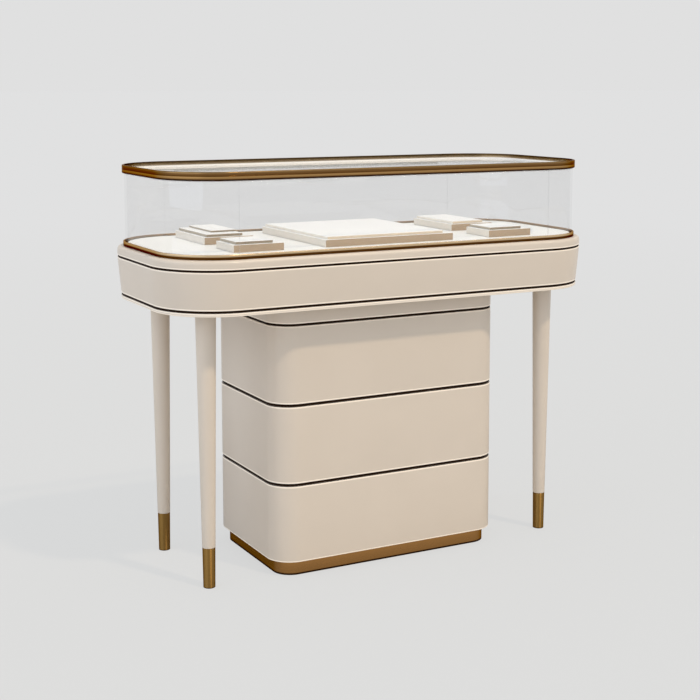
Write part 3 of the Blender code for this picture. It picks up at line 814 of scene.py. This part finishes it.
def makeLid():
    # the frame's section, with its groove and ledge, and the pane's rim go round the body's plan
    shape = lidShape
    foot, top = levels("lid_frame")
    outer = bodyInset("lid_frame")
    inner = outer + shape["wall"]
    ledge = inner + shape["ledge"]
    step = foot + shape["ledgeThickness"]
    mid = foot + shape["grooveAt"] * (top - foot)
    low, high = mid - shape["grooveWidth"] / 2, mid + shape["grooveWidth"] / 2
    deep = outer + shape["grooveDepth"]
    line = [
        (outer, foot), (outer, low), (deep, mid), (outer, high), (outer, top),
        (inner, top), (inner, step), (ledge, step), (ledge, foot),
    ]
    rounds = [shape["edge"]] + [shape["grooveEdge"]] * 3 + [shape["edge"], shape["innerEdge"]]
    rounds += [shape["stepEdge"]] + [shape["ledgeEdge"]] * 2
    profile = easedLine(line, rounds, steps=7)
    girth = runLength(profile, True)[-1]
    face = (top - foot) / girth
    width = shape["wall"] / girth
    inside = face + width
    # painted light round the section: painted shade at the foot of the outer face, a painted highlight above
    # it and painted shade in the groove; down the inner wall a painted reflection that turns from dark brown
    # to a pale band with no metal in it, and painted shade again under the ledge
    bands = dict(girth=girth, lined=True, stops=[
        (0.00, (44, 12, 0)), (0.21 * face, (50, 15, 0)), (0.33 * face, (158, 122, 74)),
        (0.50 * face, (184, 146, 95)), (0.57 * face, (110, 72, 30)), (0.90 * face, (126, 92, 54)),
        (face, (158, 128, 86)), (face + 0.7 * width, (80, 58, 28)),
        (inside + 0.12 * face, (70, 50, 24)), (inside + 0.32 * face, (126, 104, 72)),
        (inside + 0.52 * face, (182, 164, 138)), (inside + 0.62 * face, (244, 241, 235, 0.0)),
        (0.82, (246, 244, 240, 0.0)), (0.84, (150, 132, 104)), (1.0, (44, 12, 0)),
    ])
    brass = brushedBrass("lidBrass", bands, brassLook)
    addPiece("lidFrame", [skin(carry(bodyPath, profile), True, True)], brass, "lid", "brass", "lid_frame")

    foot, top = levels("lid_glass")
    outer = bodyInset("lid_glass")
    line = plateLine(outer, lidPaneShape["floor"], foot, top)
    grid = carry(bodyPath, easedLine(line, lidPaneShape["arris"], loop=False, steps=2))
    addPiece("lidGlass", [skin(grid, True, False)], glass, "lid", "glass", "lid_glass")


stripShape = dict(wall=0.0004, gap=0.0001, edge=0.0001, bow=0.0003)


def makeLightStrip():
    # a drawn channel, open downwards, with an opal cover in it
    shape = stripShape
    low, high = span("led_strip")
    middle = (low[1] + high[1]) / 2
    half = (high[1] - low[1]) / 2
    path = np.array([[low[0], middle], [high[0], middle]]), np.array([[0.0, 1.0], [0.0, 1.0]])
    foot, top = low[2], high[2]
    inner = half - shape["wall"]
    roof = top - shape["wall"]
    line = [
        (-half, foot), (-half, top), (half, top), (half, foot),
        (inner, foot), (inner, roof), (-inner, roof), (-inner, foot),
    ]
    channel = skin(carry(path, easedLine(line, shape["edge"], steps=2)), False, True)
    addPiece("lightChannel", [channel], pearl, "lid", "runner_steel")

    cover = inner - shape["gap"]
    roof -= shape["gap"]
    rim = foot + shape["bow"]
    line = [(-cover, rim), (-cover, roof), (cover, roof), (cover, rim), (0.0, foot)]
    rounds = [shape["edge"]] * 4 + [cover / 2]
    bowed = skin(carry(path, easedLine(line, rounds)), False, True)
    addPiece("lightCover", [bowed], opal, "lid", "diffuser", "led_strip")


makeLid()
makeLightStrip()
print("lid made")


# Hinge: two slim leaves along the rear, rolled in turn round one pin

hingeShape = dict(
    knuckles=9, radius=0.0035, leaf=0.0016, clearance=0.0006, gap=0.0005,
    roll=285.0,              # degrees of each knuckle
    steps=28,
)


def alongHinge(section, start, end):
    # a section of (y, z) points drawn from one x to another
    ends = [np.insert(section, 0, x, axis=1) for x in (start, end)]
    return skin(np.stack(ends), False, True)


def leafSections(node, axis, shape):
    # sections of a leaf, rolled and plain: the strip runs from its plate to the pin's side, and there its
    # outer and inner faces are two arcs about the pin, one strip apart
    radius, leaf = shape["radius"], shape["leaf"]
    y, z = axis
    near = span(node)[0][1]
    far = near + leaf
    bore = radius - leaf
    onLid = node == "lid_hinge_leaf"
    first = 180.0 if onLid else 270.0
    ways = arcWays(first, first + shape["roll"], shape["steps"])
    outer, inner = axis + radius * ways, axis + bore * ways
    if onLid:
        end, turn = span(node)[1][2], z + radius + shape["clearance"]
        rolled = [[(near, end), (near, turn), (y - radius, z + bore)], outer]
        rolled += [inner[::-1], [(y - bore, z + bore), (far, turn), (far, end)]]
    else:
        end, turn = span(node)[0][2], z - bore
        rolled = [[(near, end), (near, turn)], inner]
        rolled += [outer[::-1], [(far, z - radius), (far, end)]]
    plain = np.array([(near, end), (near, turn), (far, turn), (far, end)])
    return np.concatenate(rolled), plain


def makeHinge():
    # rolled and plain sections take turns along the pin, the other way about on the second leaf
    shape = hingeShape
    low, high = span("hinge_pin")
    axis = (low + high)[1:] / 2
    pitch = (high[0] - low[0]) / shape["knuckles"]
    for node, body, own in (("fixed_hinge_leaf", "stand", 0), ("lid_hinge_leaf", "lid", 1)):
        sections = leafSections(node, axis, shape)
        skins = []
        for i in range(shape["knuckles"]):
            bare = (i + own) % 2
            reach = -shape["gap"] / 2 if bare else shape["gap"] / 2
            start = low[0] + i * pitch + reach
            skins.append(alongHinge(sections[bare], start, start + pitch - 2 * reach))
        addPiece(pieceName(node), skins, pearl, body, "runner_steel", node)
    pin = axis + (high[2] - low[2]) / 2 * arcWays(0, 360, shape["steps"])[:-1]
    addPiece("hingePin", [alongHinge(pin, low[0], high[0])], pearl, "stand", "runner_steel", "hinge_pin")


makeHinge()
print("hinge made")


# Cabinet: neck, three drawer shells, back panel with its dark lines, plinth

cabinetPlan = dict(radius=0.0646, steps=32)
cabinetHalf = span("cabinet_neck")[1][:2]
cabinetPath = ringPath((0, 0), cabinetHalf, cabinetPlan["radius"], cabinetPlan["steps"])
neckShape = dict(wall=0.014, edge=0.0010)
shellShape = dict(wall=0.014, upper=0.0026, lower=0.0010, inner=0.0008)
backShape = dict(grooveDepth=0.004, grooveEdge=0.0003, film=0.0004, filmEdge=0.0001, gap=0.0004)
plinthShape = dict(wall=0.003, edge=0.0008)
drawerBands = ("lower", "middle", "upper")


def cabinetShell(node, side):
    # plan of a U that opens to the rear for side -1 and to the front for side 1
    low, high = span(node)
    tip = high[1] if side < 0 else low[1]
    return shellPath(cabinetHalf, cabinetPlan["radius"], tip, side, cabinetPlan["steps"])


def makeBack(wall):
    # the shell's outer side is notched at each gap between drawers, and a dark film lies in the notch
    foot, top = levels("back_panel")
    path = cabinetShell("back_panel", 1)
    deep = backShape["grooveDepth"]
    line, rounds, films = [(0, foot)], [shellShape["lower"]], []
    for under, over in zip(drawerBands, drawerBands[1:]):
        low = span(under + "_drawer_front")[1][2]
        high = span(over + "_drawer_front")[0][2]
        line += [(0, low), (deep, low), (deep, high), (0, high)]
        rounds += [shellShape["upper"], *[backShape["grooveEdge"]] * 2, shellShape["lower"]]
        gap = backShape["gap"]
        near = deep - gap
        far = near - backShape["film"]
        strip = wallLine(far, near, low + gap, high - gap)
        films.append(skin(carry(path, easedLine(strip, backShape["filmEdge"], steps=1)), False, True))
    line += [(0, top), (wall, top), (wall, foot)]
    rounds += [shellShape["upper"], shellShape["inner"], shellShape["inner"]]
    grid = carry(path, easedLine(line, rounds, steps=6))
    addPiece("backPanel", [skin(grid, False, True)], creamCabinet, "stand", "lacquer", "back_panel")
    addPiece("backLines", films, brown, "stand", "dark_line")


def makeCabinet():
    # neck and plinth are carried round the cabinet's plan, and the drawer fronts along a U
    foot, top = levels("cabinet_neck")
    line = wallLine(0, neckShape["wall"], foot, top)
    grid = carry(cabinetPath, easedLine(line, neckShape["edge"], steps=6))
    addPiece("cabinetNeck", [skin(grid, True, True)], creamCabinet, "stand", "lacquer", "cabinet_neck")

    wall = shellShape["wall"]
    rounds = [shellShape["lower"], shellShape["upper"], shellShape["inner"], shellShape["inner"]]
    for band in drawerBands:
        node = band + "_drawer_front"
        foot, top = levels(node)
        profile = easedLine(wallLine(0, wall, foot, top), rounds, steps=6)
        shell = skin(carry(cabinetShell(node, -1), profile), False, True)
        addPiece(pieceName(node), [shell], creamCabinet, band + "_drawer", "lacquer", node)

    makeBack(wall)

    foot, top = levels("plinth")
    outer = cabinetHalf[0] - span("plinth")[1][0]
    inner = outer + plinthShape["wall"]
    profile = easedLine(wallLine(outer, inner, foot, top), plinthShape["edge"])
    girth = runLength(profile, True)[-1]
    face = (top - foot) / girth
    # a painted contact shadow along the foot of the outer face, then even brass up it
    bands = dict(girth=girth, stops=[
        (0.0, (58, 30, 2)), (0.12 * face, (64, 36, 6)), (0.16 * face, (186, 136, 79)),
        (0.9 * face, (184, 134, 79)), (face, (188, 142, 92)), (1.0, (100, 72, 32)),
    ])
    brass = brushedBrass("plinthBrass", bands, brassLook)
    addPiece("plinth", [skin(carry(cabinetPath, profile), True, True)], brass, "stand", "brass", "plinth")


makeCabinet()
print("cabinet made")


# Legs and ferrules

legShape = dict(foot=0.016, core=0.008, gap=0.0003, edge=0.0012, steps=64)
ferruleShape = dict(edge=0.0010, taper=0.0012, sole=0.006, steps=64)


def ferruleBands(profile, width):
    # painted shade under the sole, which takes its width's share of the section, then even brass up the side
    girth = runLength(profile, False)[-1]
    side = width / girth
    return dict(girth=girth, stops=[
        (0.0, (80, 52, 18)), (side, (96, 66, 26)), (side + 0.03, (164, 127, 70)),
        (1.0 - side, (160, 124, 68)), (1.0, (150, 114, 64)),
    ])


def makeLegs():
    # straight tapers turned about the leg's axis, the ferrule under the leg
    brass = None
    for corner in ("front_left", "front_right", "back_left", "back_right"):
        low, high = span(corner + "_leg")
        middle = (low + high)[:2] / 2
        ferruleLow, ferruleHigh = span(corner + "_ferrule")
        shoulder = ferruleHigh[2] + legShape["gap"]
        reach = (high[0] - low[0]) / 2
        core = legShape["core"]
        line = [(core, shoulder), (legShape["foot"], shoulder), (reach, high[2]), (core, high[2])]
        turned = turnedPiece(middle, easedLine(line, legShape["edge"], loop=False), legShape["steps"])
        addPiece(pieceName(corner + "_leg"), [turned], cream, "stand", "lacquer", corner + "_leg")

        reach = (ferruleHigh[0] - ferruleLow[0]) / 2
        foot = reach - ferruleShape["taper"]
        sole = ferruleShape["sole"]
        low, high = ferruleLow[2], ferruleHigh[2]
        line = [(sole, low), (foot, low), (reach, high), (sole, high)]
        profile = easedLine(line, ferruleShape["edge"], loop=False)
        if brass is None:
            brass = brushedBrass("ferruleBrass", ferruleBands(profile, foot - sole), turnedLook)
        turned = turnedPiece(middle, profile, ferruleShape["steps"])
        addPiece(pieceName(corner + "_ferrule"), [turned], brass, "stand", "brass", corner + "_ferrule")


makeLegs()
print("legs made")


# Power unit: a moulded case with a seam, a rimmed socket to the rear and three blades in it

unitShape = dict(
    corner=0.004, edge=0.0014, seamAt=0.62, seam=0.0005, steps=6,
    rim=0.0016, rise=0.0006,
    rimFlank=0.7,            # share of the rise that is upright
    rimCrest=(0.8, 0.2),     # shares of the rim between which its top is flat
    socket=(0.032, 0.018), socketDeep=0.016, socketCorner=0.0025,
    blade=(0.0018, 0.012, 0.0042), bladeStep=0.0075, bladeDrop=0.0022, bladeEdge=0.0005,
)


def makePowerUnit():
    # loops of rounded rectangles, one behind the other along Y, from the front to the bottom of the socket
    shape = unitShape
    low, high = span("led_power_unit")
    middle = (low + high) / 2
    half = (high - low)[[0, 2]] / 2
    front, rear = low[1], high[1] - shape["rise"]
    edge, seam = shape["edge"], shape["seam"]
    seamY = front + shape["seamAt"] * (rear - front)
    line = [
        (2 * edge, front), (0, front), (0, seamY - seam), (seam, seamY),
        (0, seamY + seam), (0, rear), (2 * edge, rear),
    ]
    rounds = [0, edge, seam / 3, seam / 3, seam / 3, edge, 0]
    socket = np.array(shape["socket"]) / 2
    rim = shape["rim"]
    loops = [(half - inset, shape["corner"] - inset, y) for inset, y in easedLine(line, rounds, loop=False)]
    flank = rear + shape["rimFlank"] * shape["rise"]
    outside, inside = (share * rim for share in shape["rimCrest"])
    lip = [
        (rim, rear), (rim, flank), (outside, high[1]), (inside, high[1]),
        (0.0, flank), (0.0, high[1] - shape["socketDeep"]),
    ]
    loops += [(socket + grow, shape["socketCorner"] + grow, y) for grow, y in lip]
    flat = [ringPath(middle[[0, 2]], size, corner, shape["steps"])[0] for size, corner, _ in loops]
    grid = np.stack([np.insert(loop, 1, y, axis=1) for loop, (_, _, y) in zip(flat, loops)], 1)
    addPiece("powerUnit", [skin(grid, True, False)], plastic, "stand", "black_plastic", "led_power_unit")

    blade = np.array(shape["blade"])
    blades = []
    for step in (-1, 0, 1):
        foot = middle - blade / 2
        foot[0] += step * shape["bladeStep"]
        foot[1] = high[1] - shape["socketDeep"]
        foot[2] += shape["bladeDrop"] * (1 if step == 0 else -1)
        blades.append(softBox(foot, foot + blade, shape["bladeEdge"], shape["bladeEdge"] / 2, 3))
    addPiece("socketBlades", blades, zinc, "stand", "runner_steel")


makePowerUnit()
print("power unit made")


# Display risers

riserShape = dict(corner=0.0018, edge=0.0014)
shadedBoardRisers = ("left_front", "left_back", "right_front")    # their boards have painted shade on the fronts and sides


def makeRisers():
    # a soft block for each riser and each board
    for node in sorted(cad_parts):
        if "_riser" in node:
            low, high = span(node)
            block = softBox(low, high, riserShape["corner"], riserShape["edge"])
            cloth = bandedCloth if node.startswith(shadedBoardRisers) else boardCloth
            if node.endswith("_riser"):
                cloth = blockCloth
            addPiece(pieceName(node), [block], cloth, "stand", "riser", node)


makeRisers()
print("risers made")


# Solids whose shape is right as it is

dressNodes(brown, "carcass_base", "carcass_left_side", "carcass_right_side", "carcass_back")
for band in drawerBands:
    dressNodes(brown, band + "_front_rail")
    dressNodes(birch, band + "_drawer_box")
    dressNodes(zinc, band + "_left_runner", band + "_right_runner")
print("solids dressed")


# Studio: pale floor and surround, soft light all round, a key from the front right, a fill from the left

studio = dict(
    surround=(224, 224, 224),
    floorNear=(221, 221, 220),
    floorReach=(1.5, 9.0),   # metres over which the floor turns into the surround
    floorReflect=0.62,
    floorShadow=0.16,        # share of the floor's own shading that shows
    dome=0.82,
    domeColour=(0.96, 1.0, 1.05),
    key=1.42,
    keyColour=(1.0, 0.83, 0.62),
    mirrorDrop=0.70,         # share of its light that the floor loses in metal, except in front
    mirrorTurn=(-0.44, -0.06),
    mirrorReach=(1.0, 2.0),  # metres over which the floor keeps and loses that
    keyHeight=55.0,          # degrees over the floor
    keySide=25.0,            # degrees to the right of straight in front
    keySpread=3.2,
    fill=1.05,
    fillColour=(0.72, 0.82, 1.0),
    fillHeight=10.0,
    fillSide=-80.0,
    fillSpread=70.0,
    reach=400.0,
)


def seenRay(wire):
    # 1 for what the camera, a mirror or clear glass looks at
    return wire.node("Math", {"operation": "MINIMUM"}, {
        0: sum((wire.node("LightPath", output=kind) for kind in
                ("Is Camera Ray", "Is Glossy Ray", "Is Transmission Ray")), 0.0),
        1: 1.0,
    })


def makeStudio(look):
    # the dome lights, and what the camera or a mirror sees of it is the surround's own colour
    world = bpy.data.worlds.new("studio")
    world.use_nodes = True
    world.node_tree.nodes.clear()
    bpy.context.scene.world = world
    wire = Wire(world.node_tree)
    dome = look["dome"] * np.array(look["domeColour"])
    light = wire.node("Background", None, {"Color": (*dome.tolist(), 1.0), "Strength": 1.0})
    shown = wire.node("Background", None, {"Color": tone(*look["surround"]), "Strength": 1.0})
    mixed = wire.node("MixShader", None, {0: seenRay(wire), 1: light, 2: shown})
    wire.node("OutputWorld", None, {"Surface": mixed})

    finish, wire = newFinish("paleFloor")
    matt = wire.node("BsdfDiffuse", None, {"Color": (look["floorReflect"],) * 3 + (1,)})
    keyOnFloor = look["key"] / math.pi * math.sin(math.radians(look["keyHeight"]))
    shaded = look["floorReflect"] * (dome + keyOnFloor * np.array(look["keyColour"]))
    share = look["floorShadow"]

    def glowFor(colour):
        # what the floor must add so that it shows the colour: (colour - share * shading) / (1 - share)
        glow = (np.array(tone(*colour)[:3]) - share * shaded) / (1 - share)
        return (*glow.tolist(), 1.0)

    away = wire.node("VectorMath", {"operation": "LENGTH"}, {0: objectPlace(wire)}, "Value")
    near, far = look["floorReach"]
    fade = wire.node("MapRange", None, {"Value": away, "From Min": near, "From Max": far})
    glow = blendColour(wire, fade, glowFor(look["floorNear"]), glowFor(look["surround"]))
    across = wire.node("SeparateXYZ", None, {0: objectPlace(wire)}, "Y")
    near, far = look["mirrorReach"]
    reach = {"Value": away, "From Min": near, "From Max": far, "To Min": 1.0, "To Max": 0.0}
    nearby = wire.node("MapRange", None, reach)
    ahead, behind = look["mirrorTurn"]
    turn = {"Value": across, "From Min": ahead, "From Max": behind, "To Max": look["mirrorDrop"]}
    darker = wire.node("MapRange", None, turn)
    mirrored = wire.node("LightPath", output="Is Glossy Ray")
    pale = wire.node("Emission", None, {"Color": glow, "Strength": 1.0 - mirrored * nearby * darker})
    endFinish(wire, wire.node("MixShader", None, {0: seenRay(wire) * (1.0 - share), 1: matt, 2: pale}))
    half = look["reach"]
    corners = [(-half, -half, 0), (half, -half, 0), (half, half, 0), (-half, half, 0)]
    mesh = bpy.data.meshes.new("floor")
    mesh.from_pydata(corners, [], [(0, 1, 2, 3)])
    mesh.materials.append(finish)
    floor = bpy.data.objects.new("floor", mesh)
    bpy.context.scene.collection.objects.link(floor)

    for name in ("key", "fill"):
        lamp = bpy.data.lights.new(name, "SUN")
        lamp.energy = look[name]
        lamp.color = look[name + "Colour"]
        lamp.angle = math.radians(look[name + "Spread"])
        sun = bpy.data.objects.new(name, lamp)
        high = math.radians(look[name + "Height"])
        side = math.radians(look[name + "Side"])
        flat = math.cos(high)
        toLight = Vector((flat * math.sin(side), -flat * math.cos(side), math.sin(high)))
        sun.rotation_euler = toLight.to_track_quat("Z", "Y").to_euler()
        bpy.context.scene.collection.objects.link(sun)


makeStudio(studio)
bpy.context.scene.view_settings.view_transform = "Standard"
print("studio lit")
